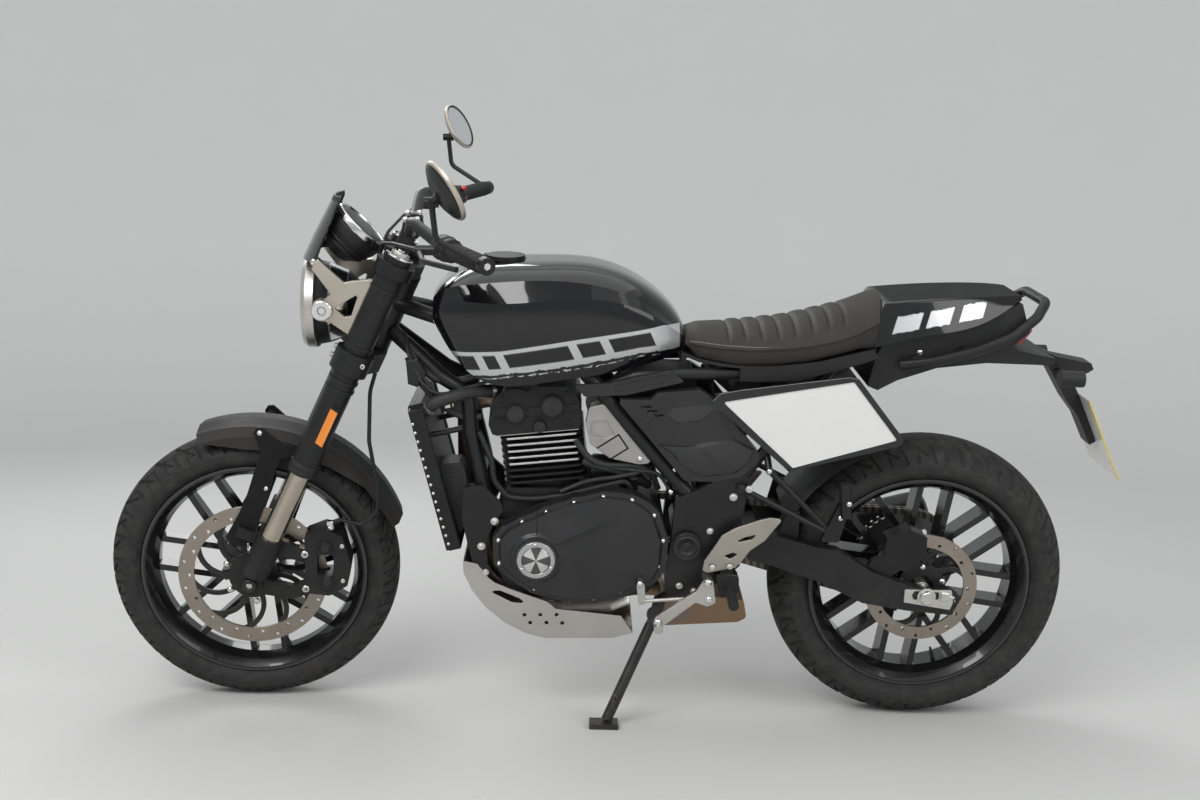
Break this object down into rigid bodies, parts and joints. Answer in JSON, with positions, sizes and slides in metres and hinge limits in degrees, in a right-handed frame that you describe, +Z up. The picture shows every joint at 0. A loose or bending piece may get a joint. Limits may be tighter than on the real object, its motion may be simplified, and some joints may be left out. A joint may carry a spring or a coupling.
{
  "type": "flat track motorcycle",
  "caption": "Flat track style road motorcycle at rest on its side stand, with steering, wheels, stand and filler cap that move.",
  "frame": {"origin": "on the floor, in the middle of the footprint", "axes": "+X towards the front wheel, +Y to the rider's left, +Z up; the bike leans to +Y on its side stand"},
  "size_m": [2.0392, 1.0379, 1.2802],
  "materials": {
    "gloss_black": "gloss",
    "satin_black": "satin",
    "black_plastic": "matt",
    "seat_cover": "grained",
    "grip_rubber": "matt",
    "tyre_rubber": "matt",
    "disc_steel": "satin",
    "bright_metal": "satin",
    "white_board": "gloss",
    "red_lens": "gloss",
    "lamp_glass": "clear",
    "mirror_glass": "mirror"
  },
  "bodies": {
    "chassis": {"main_frame": "satin_black", "subframe": "satin_black", "engine_case": "satin_black", "cylinder": "bright_metal", "breather_hose": "grip_rubber", "engine_covers": "satin_black", "radiator": "satin_black", "exhaust_header": "disc_steel", "muffler": "satin_black", "skid_plate": "bright_metal", "fuel_tank": "gloss_black", "seat": "seat_cover", "seat_base": "black_plastic", "seat_cowl": "gloss_black", "tail_fairing": "black_plastic", "tail_light": "red_lens", "grab_rail": "satin_black", "plate_hanger": "black_plastic", "licence_plate": "white_board", "side_panels": "black_plastic", "number_boards": "white_board", "injector_covers": "bright_metal", "airbox": "black_plastic", "swingarm": "satin_black", "swingarm_pivot": "bright_metal", "rear_axle": "bright_metal", "rear_shock": "disc_steel", "chain": "disc_steel", "hugger": "black_plastic", "rear_caliper": "satin_black", "peg_hangers": "satin_black", "pillion_hangers": "satin_black", "foot_levers": "bright_metal"},
    "steering": {"fork_lowers": "satin_black", "fork_uppers": "satin_black", "yokes": "satin_black", "front_axle": "bright_metal", "front_fender": "black_plastic", "front_caliper": "satin_black", "brake_hose": "grip_rubber", "control_lines": "grip_rubber", "headlight": "black_plastic", "headlight_lens": "lamp_glass", "headlight_brackets": "bright_metal", "flyscreen": "black_plastic", "instrument": "black_plastic", "handlebar": "satin_black", "grips": "grip_rubber", "bar_controls": "black_plastic", "mirrors": "satin_black", "mirror_glasses": "mirror_glass"},
    "front_wheel": {"front_rim": "satin_black", "front_tyre": "tyre_rubber", "front_disc": "disc_steel"},
    "rear_wheel": {"rear_rim": "satin_black", "rear_tyre": "tyre_rubber", "rear_disc": "disc_steel", "rear_sprocket": "disc_steel"},
    "stand": {"side_stand": "satin_black"},
    "cap": {"fuel_cap": "satin_black"}
  },
  "joints": [
    {"name": "steering_turn", "type": "hinge", "parent": "chassis", "child": "steering", "pos_m": [0.47401, -0.06829, 0.77131], "axis": [-0.4122, 0.166, 0.8958], "range_deg": [-38.4, 29.6]},
    {"name": "front_wheel_spin", "type": "hinge", "parent": "steering", "child": "front_wheel", "pos_m": [0.72712, -0.15566, 0.28779], "axis": [-0.0701, 0.9746, -0.2128], "continuous": true},
    {"name": "rear_wheel_spin", "type": "hinge", "parent": "chassis", "child": "rear_wheel", "pos_m": [-0.64379, -0.15541, 0.30237], "axis": [-0.0002, 0.9833, -0.1822], "continuous": true},
    {"name": "side_stand_fold", "type": "hinge", "parent": "chassis", "child": "stand", "pos_m": [-0.09987, -0.07304, 0.21943], "axis": [0.1542, 0.9448, 0.2892], "range_deg": [0, 105]},
    {"name": "fuel_cap_lift", "type": "hinge", "parent": "chassis", "child": "cap", "pos_m": [0.26084, -0.03768, 0.93665], "axis": [-0.0002, 0.9833, -0.1822], "range_deg": [0, 100]}
  ]
}
